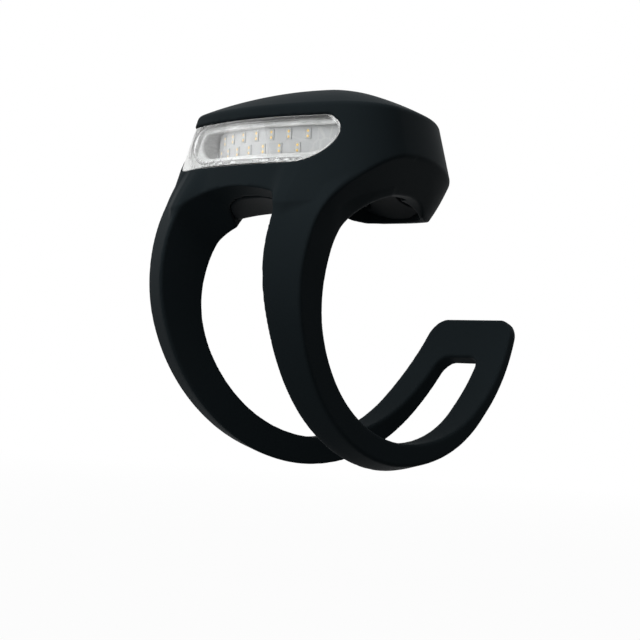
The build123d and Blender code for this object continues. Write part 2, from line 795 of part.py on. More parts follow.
# Push button: switch on the board, its stem, and the plunger that passes through the shell
with BuildPart() as switch_body:
    with Locations((button_x, 0, board_high_z + chip_lift)):
        Box(switch_side, switch_side, switch_tall, align=(Align.CENTER, Align.CENTER, Align.MIN))
    chamfer(switch_body.edges().filter_by(Axis.Z), 0.3)
    with BuildSketch(Plane.XY.offset(switch_high_z - stem_depth)):
        with Locations((button_x, 0)):
            Circle(stem_radius + running_fit)
    extrude(amount=stem_depth, mode=Mode.SUBTRACT)
switch_body.part.label = "switch_body"
export_step(switch_body.part, "parts/switch_body.step")

with BuildPart() as switch_stem:
    with BuildSketch(Plane.XY.offset(switch_high_z - stem_depth + button_travel)):
        with Locations((button_x, 0)):
            Circle(stem_radius)
    extrude(amount=stem_depth + stem_proud - button_travel)
switch_stem.part.label = "switch_stem"
export_step(switch_stem.part, "parts/switch_stem.step")

plunger_low_z = switch_high_z + stem_proud
plunger_high_z = dome_top_z - skin - plunger_skin_gap

with BuildPart() as button_plunger:
    with BuildSketch(Plane.XY.offset(plunger_low_z)):
        with Locations((button_x, 0)):
            Circle(plunger_flange_radius)
    extrude(amount=plunger_flange_thick)
    with BuildSketch(Plane.XY.offset(plunger_low_z)):
        with Locations((button_x, 0)):
            Circle(plunger_radius)
    extrude(amount=plunger_high_z - plunger_low_z)
    fillet(button_plunger.edges().sort_by(Axis.Z)[-1], 0.3)
button_plunger.part.label = "button_plunger"
export_step(button_plunger.part, "parts/button_plunger.step")

with BuildPart() as button_seal:
    with BuildSketch(Plane.XY.offset(shell_dome_z - button_seal_drop)):
        with Locations((button_x, 0)):
            Circle(plunger_radius + running_fit + button_seal_width)
            Circle(plunger_radius + running_fit, mode=Mode.SUBTRACT)
    extrude(amount=-button_seal_thick)
button_seal.part.label = "button_seal"
export_step(button_seal.part, "parts/button_seal.step")


# Parts on top of the board
for name, box in (("controller_chip", controller_chip_box), ("charge_chip", charge_chip_box),
                  ("boost_inductor", inductor_box)):
    body = chip(box)
    body.label = name
    export_step(body, f"parts/{name}.step")

with BuildPart() as board_passives:
    with Locations(*[(x, y, board_high_z + chip_lift) for x, y in passive_spots]):
        Box(*passive_size, align=(Align.CENTER, Align.CENTER, Align.MIN))
board_passives.part.label = "board_passives"
export_step(board_passives.part, "parts/board_passives.step")
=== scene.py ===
"""Bicycle tail light in a silicone case: its looks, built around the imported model.

Lengths in the code are millimetres until a mesh is made, because the case is worked out as a field
of distances in millimetres. Properties keep Blender's metres.
"""
import math

import bmesh
import bpy
import numpy as np
from bpy.props import FloatProperty, FloatVectorProperty, IntProperty, PointerProperty
from mathutils import Matrix, Vector


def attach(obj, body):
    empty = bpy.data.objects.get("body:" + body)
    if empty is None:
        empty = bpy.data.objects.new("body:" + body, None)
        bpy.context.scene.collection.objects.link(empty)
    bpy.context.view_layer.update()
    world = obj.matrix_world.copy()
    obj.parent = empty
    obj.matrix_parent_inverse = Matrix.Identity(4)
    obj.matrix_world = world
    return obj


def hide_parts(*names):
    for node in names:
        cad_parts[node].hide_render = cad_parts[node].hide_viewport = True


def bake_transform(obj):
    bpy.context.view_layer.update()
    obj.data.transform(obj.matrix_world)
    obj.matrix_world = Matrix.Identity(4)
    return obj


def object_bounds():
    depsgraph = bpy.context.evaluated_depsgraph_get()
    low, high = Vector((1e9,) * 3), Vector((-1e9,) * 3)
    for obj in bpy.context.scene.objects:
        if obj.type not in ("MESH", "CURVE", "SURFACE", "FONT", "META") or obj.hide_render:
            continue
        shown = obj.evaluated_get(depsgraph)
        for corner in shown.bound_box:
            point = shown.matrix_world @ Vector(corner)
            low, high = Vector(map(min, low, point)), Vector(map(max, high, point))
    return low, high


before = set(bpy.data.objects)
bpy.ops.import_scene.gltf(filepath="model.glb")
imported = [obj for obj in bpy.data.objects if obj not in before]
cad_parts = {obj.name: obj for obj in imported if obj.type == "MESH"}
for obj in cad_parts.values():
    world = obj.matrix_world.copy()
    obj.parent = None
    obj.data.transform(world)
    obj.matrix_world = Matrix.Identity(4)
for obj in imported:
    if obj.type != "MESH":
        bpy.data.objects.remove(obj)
cad_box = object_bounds()

bl_info = {
    "name": "Bicycle tail light",
    "version": (1, 0, 0),
    "blender": (4, 5, 0),
    "location": "View3D > Sidebar > Tail light",
    "description": "Builds a silicone-cased bicycle tail light round its CAD frame",
    "category": "Object",
}

MM = 0.001


def length(name, description, millimetres):
    """A length property whose default is written in millimetres."""
    return FloatProperty(name=name, description=description, default=millimetres * MM, unit="LENGTH")


def colour(name, description, value):
    """A colour property."""
    return FloatVectorProperty(name=name, description=description, default=value, subtype="COLOR", size=3,
                               min=0.0, max=1.0)


def share(name, description, value):
    """A property between 0 and 1."""
    return FloatProperty(name=name, description=description, default=value, subtype="FACTOR", min=0.0,
                         max=1.0)


class TailLightCase(bpy.types.PropertyGroup):
    """Sizes and colour of the silicone case."""

    seat_radius: length("Seat radius", "Radius of the bar seat under the head", 14.5)
    chin_foot: length("Chin foot", "Height of the chin's foot in its middle", 10.5)
    lip: length("Seat lip", "How far the soft lips stand into the bar seat", 1.25)
    front_reach: length("Front reach", "How far the crease stands in front of the bar's axis", 15.9)
    rear_reach: length("Rear reach", "How far the crease stands behind the bar's axis", 11.3)
    half_width: length("Half width", "Half the width of the head at its crease", 17.2)
    crease_height: length("Crease height", "Height of the crease between wall and dome", 23.0)
    dome_rise: length("Dome rise", "How far the dome stands above the crease", 3.35)
    skin: length("Skin", "Thickness of the silicone over the module", 1.5)
    crease_round: length("Crease rounding", "Radius of the creases", 0.3)
    chin_blend: length("Chin blend", "Radius of the fillet between the legs and the chin", 3.2)
    cell: length("Mesh cell", "Size of the case's mesh cells", 0.25)
    tone: colour("Colour", "Colour of the silicone", (0.0110, 0.0152, 0.0174))
    roughness: share("Roughness", "Roughness of the silicone", 0.5)


class TailLightLamp(bpy.types.PropertyGroup):
    """Sizes and colours of the window and the lamp behind it."""

    window_low: length("Window foot", "Height of the window's lower edge", 15.65)
    window_high: length("Window head", "Height of the window's upper edge", 21.6)
    window_side: length("Window side", "How far the window stays inside the head's half width", 2.7)
    window_end_height: length("Window end", "Height at which the window is widest", 19.3)
    window_top_run: length("Upper corner", "Length of the window's upper corner", 2.7)
    window_low_run: length("Lower corner", "Length of the window's lower corner", 5.7)
    lens_recess: length("Lens recess", "How far the lens lies below the silicone", 0.15)
    lens_thickness: length("Lens thickness", "Thickness of the lens at its rim", 1.95)
    lens_web: length("Lens web", "Thickness of the lens inside its rim", 1.45)
    lens_rim: length("Lens rim", "Width of the lens's thick rim", 0.5)
    lamp_depth: length("Lamp depth", "How far the lamp board lies behind the crease at the front", 2.2)
    lamp_radius: length("Lamp radius", "Radius of the curved lamp board", 28.0)
    led_pitch: length("LED pitch", "Spacing of the LEDs along the board", 2.9)
    led_shift: length("LED shift", "How far the rows stand off the middle", 1.45)
    led_stagger: length("LED stagger", "How far the lower row is staggered", 1.45)
    led_count: IntProperty(name="LED count", description="Packages in each row", default=7, min=1, max=12)
    led_high: length("Upper LEDs", "Height of the upper row of LEDs", 19.5)
    led_low: length("Lower LEDs", "Height of the lower row of LEDs", 17.8)
    led_width: length("LED width", "Width of an LED package", 0.9)
    led_height: length("LED height", "Height of an LED package", 1.3)
    led_depth: length("LED depth", "Thickness of an LED package", 0.12)
    led_lift: length("LED lift", "Solder gap between package and board", 0.02)
    emitter_radius: length("Emitter radius", "Radius of one yellow emitter", 0.18)
    emitter_spread: length("Emitter spread", "How far an emitter stands from its package's middle", 0.33)
    bezel_width: length("Bezel width", "How far the bezel reaches in from the window's edge", 1.25)
    board_tone: colour("Board colour", "Colour of the lamp board", (0.335, 0.338, 0.342))
    package_tone: colour("Package colour", "Colour of the LED packages", (0.36, 0.361, 0.36))
    phosphor_tone: colour("Emitter colour", "Colour of the emitters", (0.80, 0.52, 0.10))


class TailLightStage(bpy.types.PropertyGroup):
    """Camera, floor and lights."""

    focal_length: FloatProperty(name="Focal length", description="Camera focal length in mm", default=122.8)
    floor_drop: length("Floor drop", "Gap between the object's lowest point and the floor", 14.0)
    floor_tone: colour("Floor colour", "Colour of floor and backdrop", (0.15, 0.15, 0.15))
    fill: FloatProperty(name="Fill", description="Strength of the even light from all round", default=0.13)


def in_millimetres(group):
    """The group's lengths as plain numbers in millimetres."""
    lengths = {}
    for name, prop in group.bl_rna.properties.items():
        if getattr(prop, "unit", "NONE") == "LENGTH":
            lengths[name] = getattr(group, name) / MM
    return lengths


def lamp_centre(case, lamp):
    """Where the centre of the curved lamp board stands along X."""
    return lamp["lamp_depth"] - case["front_reach"] + lamp["lamp_radius"]


# Fields of distance: negative inside, in millimetres


def round_max(first, second, radius):
    """Keeps what is inside both, with the edge between them rounded."""
    corner = np.hypot(np.maximum(first + radius, 0), np.maximum(second + radius, 0))
    return np.minimum(np.maximum(first, second), -radius) + corner


def round_min(first, second, radius):
    """Keeps what is inside either, with a fillet between them."""
    return -round_max(-first, -second, radius)


def eased(knots, values, at):
    """Smooth curve through values at rising knots."""
    knots = np.asarray(knots, float)
    values = np.asarray(values, float)
    slopes = np.gradient(values, knots)
    at = np.clip(at, knots[0], knots[-1])
    spot = np.clip(np.searchsorted(knots, at) - 1, 0, len(knots) - 2)
    width = knots[spot + 1] - knots[spot]
    t = (at - knots[spot]) / width
    near = values[spot] * (1 + 2 * t) * (1 - t) ** 2 + slopes[spot] * width * t * (1 - t) ** 2
    far = values[spot + 1] * (3 - 2 * t) * t**2 - slopes[spot + 1] * width * t**2 * (1 - t)
    return near + far


class HeadForm:
    """The head: a rounded triangle with drafted wall, low dome and cut-away underside."""

    front_radius = 50.0
    corner_radius = 5.4
    flank_radius = 33.0
    rear_radius = 9.5
    dome_centre = -4.5
    wall_draft = math.radians(15)
    hip_height = 16.1
    hip_slope = 0.42
    hip_front = -5.0
    hip_fade = 3.0
    side_point = np.array((-9.4, 12.8, 11.2))
    side_normal = np.array((-0.254, -0.643, 0.722))
    side_round = 1.2
    gauge_steps = 721
    gauge_rounds = 40
    gauge_pace = 0.8

    def __init__(self, case):
        self.case = case
        self.front = np.array((self.front_radius - case["front_reach"], 0.0))
        corner_y = case["half_width"] - self.corner_radius
        reach = self.front_radius - self.corner_radius
        self.corner = np.array((self.front[0] - math.sqrt(reach**2 - corner_y**2), corner_y))
        self.rear = np.array((case["rear_reach"] - self.rear_radius, 0.0))
        to_corner = self.flank_radius - self.corner_radius
        to_rear = self.flank_radius - self.rear_radius
        apart = self.rear - self.corner
        distance = np.hypot(*apart)
        along = (to_corner**2 - to_rear**2 + distance**2) / (2 * distance)
        across = math.sqrt(to_corner**2 - along**2)
        unit = apart / distance
        self.flank = self.corner + along * unit + across * np.array((unit[1], -unit[0]))
        self.table_angle, self.table_radius = self.gauge()

    def plan(self, x, y):
        """Distance outside the plan outline at the crease."""
        y = np.abs(y)
        corner_start = self.corner - self.front
        flank_start = self.corner - self.flank
        rear_start = self.rear - self.flank

        def past(start, centre):
            """Positive clockwise of a direction from an arc's centre."""
            return start[1] * (x - centre[0]) - start[0] * (y - centre[1])

        def arc(centre, radius, within):
            return np.where(within, np.hypot(x - centre[0], y - centre[1]) - radius, -np.inf)

        front = arc(self.front, self.front_radius, past(corner_start, self.front) <= 0)
        corner = arc(self.corner, self.corner_radius,
                     (past(corner_start, self.corner) >= 0) & (past(flank_start, self.corner) <= 0))
        flank = arc(self.flank, self.flank_radius,
                    (past(flank_start, self.flank) >= 0) & (past(rear_start, self.flank) <= 0))
        rear = arc(self.rear, self.rear_radius, past(rear_start, self.rear) >= 0)
        return np.maximum(np.maximum(front, corner), np.maximum(flank, rear))

    def gauge(self):
        """Radius of the outline about the dome's centre, for every angle."""
        angle = np.linspace(0, math.pi, self.gauge_steps)
        radius = np.full_like(angle, self.case["half_width"])
        for _ in range(self.gauge_rounds):
            x = self.dome_centre + radius * np.cos(angle)
            y = radius * np.sin(angle)
            radius = radius - self.gauge_pace * self.plan(x, y)
        return angle, radius

    def wall_grow(self, z):
        """How far the wall stands outside the crease outline at height z."""
        return (self.case["crease_height"] - z) * math.tan(self.wall_draft)

    def upper(self, x, y, z, inset):
        """Wall and dome, shrunk inwards."""
        crease = self.case["crease_height"] - inset
        wall = (self.plan(x, y) - self.wall_grow(z) + inset) * math.cos(self.wall_draft)
        out_x = x - self.dome_centre
        angle = np.abs(np.arctan2(np.abs(y), out_x))
        outline = np.interp(angle, self.table_angle, self.table_radius)
        outline = outline + self.wall_grow(crease) - inset
        share_out = np.hypot(out_x, y) / outline
        rise = self.case["dome_rise"]
        slope = 2 * rise * share_out / outline
        dome = (z - crease - rise * (1 - share_out**2)) / np.sqrt(1 + slope**2)
        return round_max(wall, dome, self.case["crease_round"])

    def under(self, x, y, z, inset):
        """The underside's cone at the rear and its two side planes."""
        grow = self.wall_grow(self.hip_height) - inset + self.hip_slope * (z - self.hip_height)
        cone = (self.plan(x, y) - grow) / math.hypot(1, self.hip_slope)
        cone = cone - self.hip_fade * np.maximum(self.hip_front - x, 0)
        normal = self.side_normal / np.linalg.norm(self.side_normal)
        side = -sum((at - start) * n for at, start, n in zip((x, np.abs(y), z), self.side_point, normal))
        return round_max(cone, side + inset, self.side_round)

    def solid(self, x, y, z, inset):
        """The whole head before its underside is hollowed."""
        return round_max(self.upper(x, y, z, inset), self.under(x, y, z, inset), self.case["crease_round"])


class StrapForm:
    """Two legs that sweep round the bar and join in a hook tip."""

    opening_turn = 195.0
    sweep_radius = 17.9
    hook_turn = 314.5
    hook_radius = 30.4
    gap_end_turn = 330.5
    tip_turn = 341.0
    tip_round = 2.4
    gap_round = 1.7
    edge_round = 0.3
    top_turn = 112.0

    # Section of a leg at turns in degrees: the half width on its inner side, then the outer crease and
    # the edge of the gap, each as height off the inner side and distance from the middle
    turns = (112.0, 122.0, 137.0, 151.0, 166.0, 195.0, 230.0, 265.0, 300.0, 322.0, 341.0)
    inner = (12.9, 12.9, 12.6, 13.0, 13.4, 13.2, 12.05, 10.65, 10.0, 9.2, 7.4)
    crease_out = (4.6, 5.2, 5.6, 5.7, 5.3, 4.4, 3.55, 2.85, 2.05, 1.5, 1.3)
    crease = (17.4, 17.3, 16.9, 15.7, 15.2, 14.5, 12.8, 11.0, 10.0, 9.05, 7.25)
    gap_out = (7.0, 7.2, 7.5, 7.8, 7.4, 5.8, 4.5, 3.7, 2.85, 2.15, 1.85)
    gap = (9.0, 9.0, 9.1, 9.5, 9.8, 9.9, 8.7, 7.3, 5.6, 4.2, 2.9)

    def __init__(self, case):
        self.seat = case["seat_radius"]

        def unit(turn):
            return np.array((math.cos(math.radians(turn)), math.sin(math.radians(turn))))

        self.centres = [np.zeros(2)]
        self.centres.append((self.seat - self.sweep_radius) * unit(self.opening_turn))
        self.centres.append(self.centres[1] + (self.sweep_radius - self.hook_radius) * unit(self.hook_turn))

    def along(self, x, z):
        """Turn of the outward normal, and distance outside the inner line."""
        spots = []
        for centre, radius in zip(self.centres, (self.seat, self.sweep_radius, self.hook_radius)):
            turn = np.degrees(np.arctan2(z - centre[1], x - centre[0])) % 360
            spots.append((turn, np.hypot(x - centre[0], z - centre[1]) - radius))
        turn = np.where(spots[1][0] <= self.hook_turn, spots[1][0], spots[2][0])
        out = np.where(spots[1][0] <= self.hook_turn, spots[1][1], spots[2][1])
        on_seat = spots[0][0] <= self.opening_turn
        return np.where(on_seat, spots[0][0], turn), np.where(on_seat, spots[0][1], out)

    def solid(self, x, y, z):
        """Both legs with the bar that joins them at the tip."""
        turn, out = self.along(x, z)
        y = np.abs(y)
        rows = (self.inner, self.crease_out, self.crease, self.gap_out, self.gap)
        inner, crease_out, crease, gap_out, gap = (eased(self.turns, row, turn) for row in rows)
        side = (crease_out * (y - inner) - (crease - inner) * out) / np.hypot(crease_out, crease - inner)
        fall = crease - gap
        step = gap_out - crease_out
        face = (fall * (out - crease_out) + step * (y - crease)) / np.hypot(fall, step)
        face = round_max(face, out - gap_out, self.edge_round)
        past_tip = np.radians(turn - self.tip_turn) * self.hook_radius
        flank = round_max(side, past_tip, self.tip_round)
        body = round_max(round_max(flank, face, self.edge_round), -out, self.edge_round)
        before_bar = np.radians(turn - self.gap_end_turn) * self.hook_radius
        opening = round_max(y - gap, before_bar, self.gap_round)
        before_top = np.radians(self.top_turn - turn) * self.seat
        return np.maximum(round_max(body, -opening, self.edge_round), before_top)


class CoverForm:
    """Outline of the cover's plug in the underside."""

    corners = ((-15.4, 5.2), (-12.4, 8.2), (-5.5, 10.2), (10.2, 7.0))
    corner_round = 2.4
    rear_centre = 1.8
    rear_radius = 7.8
    rear_round = 2.0
    edge = 0.12
    gap = 0.1
    radius = 15.0
    wall = 1.3
    rim = 1.2
    inside = (16.1, 16.8)
    screw = (6.0, 5.2)
    screw_seat = 14.6
    boss_radius = 1.9
    boss_height = 1.7
    recess = (4.2, 2.8)
    recess_edge = 0.2
    hole_radius = 0.75
    well_inside = -30.0

    def plan(self, x, y):
        """Distance outside the plug."""
        y = np.abs(y)
        edge = round_max(self.corners[0][0] - x, x - self.corners[-1][0], self.corner_round)
        for first, second in zip(self.corners, self.corners[1:]):
            run = second[0] - first[0]
            rise = second[1] - first[1]
            beside = ((y - first[1]) * run - (x - first[0]) * rise) / math.hypot(run, rise)
            edge = round_max(edge, beside, self.corner_round)
        rear = np.hypot(x - self.rear_centre, y) - self.rear_radius
        return round_max(edge, np.where(x < self.rear_centre, self.well_inside, rear), self.rear_round)


class WindowForm:
    """Outline of the window, seen from the front."""

    far_runs = (1.2, 2.2)
    steps = np.linspace(0, 1, 25)[:, None]
    margin = 3.0
    far_off = 9.0

    def __init__(self, case, lamp, far_reach):
        self.low = lamp["window_low"]
        self.high = lamp["window_high"]
        end = case["half_width"] - lamp["window_side"]
        near = self.half(end, lamp["window_top_run"], lamp["window_low_run"], lamp["window_end_height"])
        far = near
        if far_reach:
            far = self.half(end + far_reach, self.far_runs[0], self.far_runs[1], lamp["window_end_height"])
        self.points = np.vstack((far, (near * (-1, 1))[::-1]))

    def half(self, end, top_run, low_run, widest):
        """One end of the outline, from its upper edge down to its lower edge."""
        top = self.corner((end - top_run, self.high), (end, widest))
        low = self.corner((end - low_run, self.low), (end, widest))[::-1]
        return np.vstack((top, low[1:]))

    def corner(self, level, upright):
        """Curve from a level edge to an upright end."""
        start = np.array(level)
        end = np.array(upright)
        reach = np.hypot(*(end - start))
        t = self.steps
        leave = np.array((reach, 0.0))
        arrive = np.array((0.0, math.copysign(reach, end[1] - start[1])))
        return (start * (2 * t**3 - 3 * t**2 + 1) + leave * (t**3 - 2 * t**2 + t)
                + end * (3 * t**2 - 2 * t**3) + arrive * (t**3 - t**2))

    def outside(self, y, z):
        """Distance outside the outline."""
        nearest = np.full(y.shape, np.inf)
        inside = np.zeros(y.shape, bool)
        for start, end in zip(self.points, np.roll(self.points, -1, axis=0)):
            run = end - start
            if abs(run[0]) + abs(run[1]) < 1e-9:
                continue
            t = np.clip(((y - start[0]) * run[0] + (z - start[1]) * run[1]) / (run @ run), 0, 1)
            nearest = np.minimum(nearest, (y - start[0] - t * run[0]) ** 2 + (z - start[1] - t * run[1]) ** 2)
            if run[1]:
                crossing = start[0] + (z - start[1]) * run[0] / run[1]
                inside ^= ((start[1] > z) != (end[1] > z)) & (y < crossing)
        return np.sqrt(nearest) * np.where(inside, -1, 1)


class TailLightForm:
    """All of the light's moulded forms as fields."""

    seat_edge = 0.3
    opening_edge = 0.15
    lens_edge = 0.15
    plate_edge = 0.25
    plate_gap = 0.06
    plate_short = 0.05
    core_gap = 0.1
    core_lap = 0.2
    flange_gap = 0.1
    flange_reach = 0.7
    # Depth and width of the lens faces that get the opaque pale grey of the painted reflection
    painted_rim_depth = 0.3
    painted_rim_width = 0.25

    # How much of the seat's lip stands into the bar seat, at turns in degrees
    lip_turns = (40.0, 46.0, 49.0, 54.0, 60.0, 94.0, 120.0, 141.0, 152.0, 180.0)
    lip_shares = (-1.1, -1.1, -0.4, 0.5, 1.0, 1.0, 0.6, 0.2, 0.0, 0.0)

    chin_front = (-18.5, 13.0)
    chin_back = -11.3
    chin_droop = 1.2
    chin_half = 9.0
    chin_droop_half = 9.5
    window_rear = -8.1
    face_reach = 2.45
    bezel_gap = 0.05
    bezel_wall = 0.6
    bezel_reach = 0.2
    chin_fade = (11.0, 14.5)
    side_blend = 0.5
    floor_low = 8.0

    def __init__(self, settings):
        self.case = in_millimetres(settings.tail_light_case)
        self.lamp = in_millimetres(settings.tail_light_lamp)
        self.head = HeadForm(self.case)
        self.strap = StrapForm(self.case)
        self.cover = CoverForm()
        self.window = WindowForm(self.case, self.lamp, 0.0)
        self.face = WindowForm(self.case, self.lamp, self.face_reach)

    def seat(self, x, z):
        """Negative outside the bar seat, with its soft lips."""
        turn = np.degrees(np.arctan2(z, x)) % 360
        lip = self.case["lip"] * np.interp(turn, self.lip_turns, self.lip_shares, right=0.0)
        lip = np.where(turn < self.strap.opening_turn, lip, 0.0)
        return self.case["seat_radius"] - lip - np.hypot(x, z)

    def chin(self, x, y, z):
        """Negative above the chin's slanted underside, which droops towards the legs."""
        front_x, front_z = self.chin_front
        run = self.chin_back - front_x
        fall = front_z - self.case["chin_foot"]
        aside = np.minimum(np.abs(y), self.chin_droop_half) / self.chin_half
        raised = z + self.chin_droop * aside**2
        return -((x - front_x) * fall + (raised - front_z) * run) / math.hypot(run, fall)

    def above_floor(self, x, y, z):
        """Negative above the underside of the case."""
        return round_max(self.seat(x, z), self.chin(x, y, z), self.seat_edge)

    def window_opening(self, window, x, y, z, grow):
        """A window's outline pushed through the front wall; away from it all points count as far off."""
        outside = np.full(np.shape(x), window.far_off)
        near = (x < self.window_rear) & (z > window.low - window.margin) & (z < window.high + window.margin)
        outside[near] = window.outside(y[near], z[near])
        return np.maximum(outside - grow, x - self.window_rear)

    def silicone(self, points):
        """The whole case."""
        x, y, z = points.T
        head = np.maximum(self.head.solid(x, y, z, 0.0), self.above_floor(x, y, z))
        legs = self.strap.solid(x, y, z)
        aside = np.clip((np.abs(y) - self.chin_fade[0]) / (self.chin_fade[1] - self.chin_fade[0]), 0, 1)
        blend = self.case["chin_blend"] + (self.side_blend - self.case["chin_blend"]) * aside
        outer = round_min(head, legs, blend)
        outer = round_max(outer, self.seat(x, z), self.seat_edge)
        skin = self.case["skin"]
        floor = self.case["seat_radius"] + skin - np.hypot(x, z)
        cavity = np.maximum(self.head.solid(x, y, z, skin), np.maximum(floor, self.chin(x, y, z) + skin))
        opening = np.maximum(self.cover.plan(x, y) - self.cover.gap, z - self.window.low)
        opening = np.maximum(opening, self.floor_low - z)
        window = self.window_opening(self.face, x, y, z, 0.0)
        hollow = np.minimum(cavity, np.minimum(opening, window))
        return round_max(outer, -hollow, self.opening_edge)

    def base(self, points):
        """The underside cover: plug with its front lip, flange, bosses and screw recesses."""
        x, y, z = points.T
        cover = self.cover
        out = np.hypot(x, z)
        plan = cover.plan(x, y)
        skin = self.case["skin"] + self.flange_gap
        chin = self.chin(x, y, z)
        under = round_max(cover.radius - out, chin, self.seat_edge)
        depth = np.minimum(out - cover.radius, -chin)
        floor = depth - cover.wall
        rim = np.maximum(-plan - cover.rim, depth - cover.inside[1] + cover.radius)
        boss = np.hypot(x - cover.screw[0], np.abs(y) - cover.screw[1])
        around_screw = np.maximum(boss - cover.boss_radius, z - cover.screw_seat - cover.boss_height)
        upper = np.minimum(np.minimum(floor, rim), around_screw)
        plug = round_max(plan, under, cover.edge)
        plug = np.maximum(plug, upper)
        ledge = np.maximum(self.head.solid(x, y, z, skin), chin + skin)
        ledge = np.maximum(ledge, np.maximum(cover.inside[0] - out, out - cover.inside[1]))
        body = np.minimum(plug, ledge)
        across = (cover.recess[0] - cover.recess[1]) / 2
        slot = np.hypot(x - cover.screw[0], np.maximum(np.abs(np.abs(y) - cover.screw[1]) - across, 0))
        slot = round_max(slot - cover.recess[1] / 2, z - cover.screw_seat, cover.recess_edge)
        hole = boss - cover.hole_radius
        return round_max(body, -np.minimum(slot, hole), cover.edge)

    def probes(self, points):
        """Two fields at the points: below an inset of the wall and dome, and within a window."""
        x, y, z = points.T

        def deeper(inset):
            return self.head.upper(x, y, z, inset)

        def within(window, grow):
            return self.window_opening(window, x, y, z, grow)

        return deeper, within

    def lens(self, points):
        """The clear window: a face plate, a core with a thick rim, and a flange."""
        deeper, within = self.probes(points)
        recess = self.lamp["lens_recess"]
        skin = self.case["skin"]
        plate = round_max(deeper(recess), within(self.face, -self.plate_gap), self.plate_edge)
        plate = np.maximum(plate, -deeper(skin - self.plate_short))
        core = np.maximum(deeper(skin - self.core_lap), within(self.window, -self.core_gap))
        flange = np.maximum(deeper(skin + self.flange_gap), within(self.window, self.flange_reach))
        solid = np.minimum(plate, np.minimum(core, flange))
        pocket = deeper(recess + self.lamp["lens_web"])
        pocket = np.maximum(pocket, within(self.window, -self.lamp["lens_rim"]))
        back = np.minimum(deeper(recess + self.lamp["lens_thickness"]), pocket)
        return round_max(solid, -back, self.lens_edge)

    def painted_reflection_faces(self, points):
        """Whether points lie on the window's side or its flange, which get an opaque pale grey as a painted
        reflection.
        """
        x, y, z = points.T
        hidden = self.head.upper(x, y, z, self.lamp["lens_recess"] + self.painted_rim_depth) < 0
        return hidden & (self.window.outside(y, z) > -self.painted_rim_width)

    def bezel(self, points):
        """The frame round the LEDs: a tube before the lamp board, with a flange behind the window."""
        x, y, _ = points.T
        deeper, within = self.probes(points)
        back = self.lamp["lens_recess"] + self.lamp["lens_thickness"] + self.bezel_gap
        from_centre = np.hypot(x - lamp_centre(self.case, self.lamp), y)
        before_board = self.lamp["lamp_radius"] + self.bezel_gap - from_centre
        body = np.maximum(deeper(back), within(self.window, self.bezel_reach))
        body = np.maximum(body, before_board)
        tube = -within(self.window, -self.bezel_wall)
        flange = np.maximum(-within(self.window, -self.lamp["bezel_width"]), -deeper(back + self.bezel_wall))
        return round_max(body, np.minimum(tube, flange), self.lens_edge)


def mesh_of_field(name, field, low, high, cell):
    """Closed mesh of the field's zero surface, its points drawn onto the surface itself."""
    axes = [np.arange(a, b + cell, cell) for a, b in zip(low, high)]
    counts = [len(axis) for axis in axes]
    values = np.empty(counts)
    across, up = np.meshgrid(axes[1], axes[2], indexing="ij")
    for spot, x in enumerate(axes[0]):
        grid = np.column_stack((np.full(across.size, x), across.ravel(), up.ravel()))
        values[spot] = field(grid).reshape(across.shape)
    inside = values < 0

    def corner(array, offset):
        return array[tuple(slice(o, n - 1 + o) for o, n in zip(offset, counts))]

    offsets = [(i, j, k) for i in (0, 1) for j in (0, 1) for k in (0, 1)]
    filled = sum(corner(inside, offset).astype(np.int8) for offset in offsets)
    mixed = (filled > 0) & (filled < 8)
    cells = np.argwhere(mixed)
    index = np.full(mixed.shape, -1, np.int64)
    index[mixed] = np.arange(len(cells))
    total = np.zeros((len(cells), 3))
    hits = np.zeros(len(cells))
    for start in offsets:
        for axis in range(3):
            if start[axis]:
                continue
            end = tuple(o + (a == axis) for a, o in enumerate(start))
            first = values[tuple((cells + start).T)]
            second = values[tuple((cells + end).T)]
            crossing = (first < 0) != (second < 0)
            t = np.where(crossing, first / np.where(crossing, first - second, 1), 0)
            spot = np.array(start, float) + t[:, None] * (np.arange(3) == axis)
            total += spot * crossing[:, None]
            hits += crossing
    points = np.array([axis[0] for axis in axes]) + cell * (cells + total / hits[:, None])
    quads = []
    for axis in range(3):
        others = [a for a in range(3) if a != axis]
        lower = [slice(None)] * 3
        upper = [slice(None)] * 3
        lower[axis] = slice(0, -1)
        upper[axis] = slice(1, None)
        change = inside[tuple(lower)] != inside[tuple(upper)]
        edges = np.argwhere(change)
        edges = edges[(edges[:, others[0]] > 0) & (edges[:, others[1]] > 0)]
        around = []
        for first, second in ((0, 0), (1, 0), (1, 1), (0, 1)):
            spot = edges.copy()
            spot[:, others[0]] -= first
            spot[:, others[1]] -= second
            around.append(index[tuple(spot.T)])
        quad = np.stack(around, axis=1)
        leaving = inside[tuple(edges.T)]
        flip = leaving if axis != 1 else ~leaving
        quad[flip] = quad[flip][:, ::-1]
        quads.append(quad[:, ::-1])
    quads = np.vstack(quads)
    points = settle(points, quads, field, cell)
    mesh = bpy.data.meshes.new(name)
    mesh.from_pydata((points * MM).tolist(), [], quads.tolist())
    mesh.validate()
    mesh.shade_smooth()
    return mesh


def slope_of(field, points):
    """Value and gradient of a field."""
    step = 0.02
    value = field(points)
    slope = np.empty_like(points)
    for axis in range(3):
        shift = np.zeros(3)
        shift[axis] = step
        slope[:, axis] = (field(points + shift) - field(points - shift)) / (2 * step)
    return value, slope


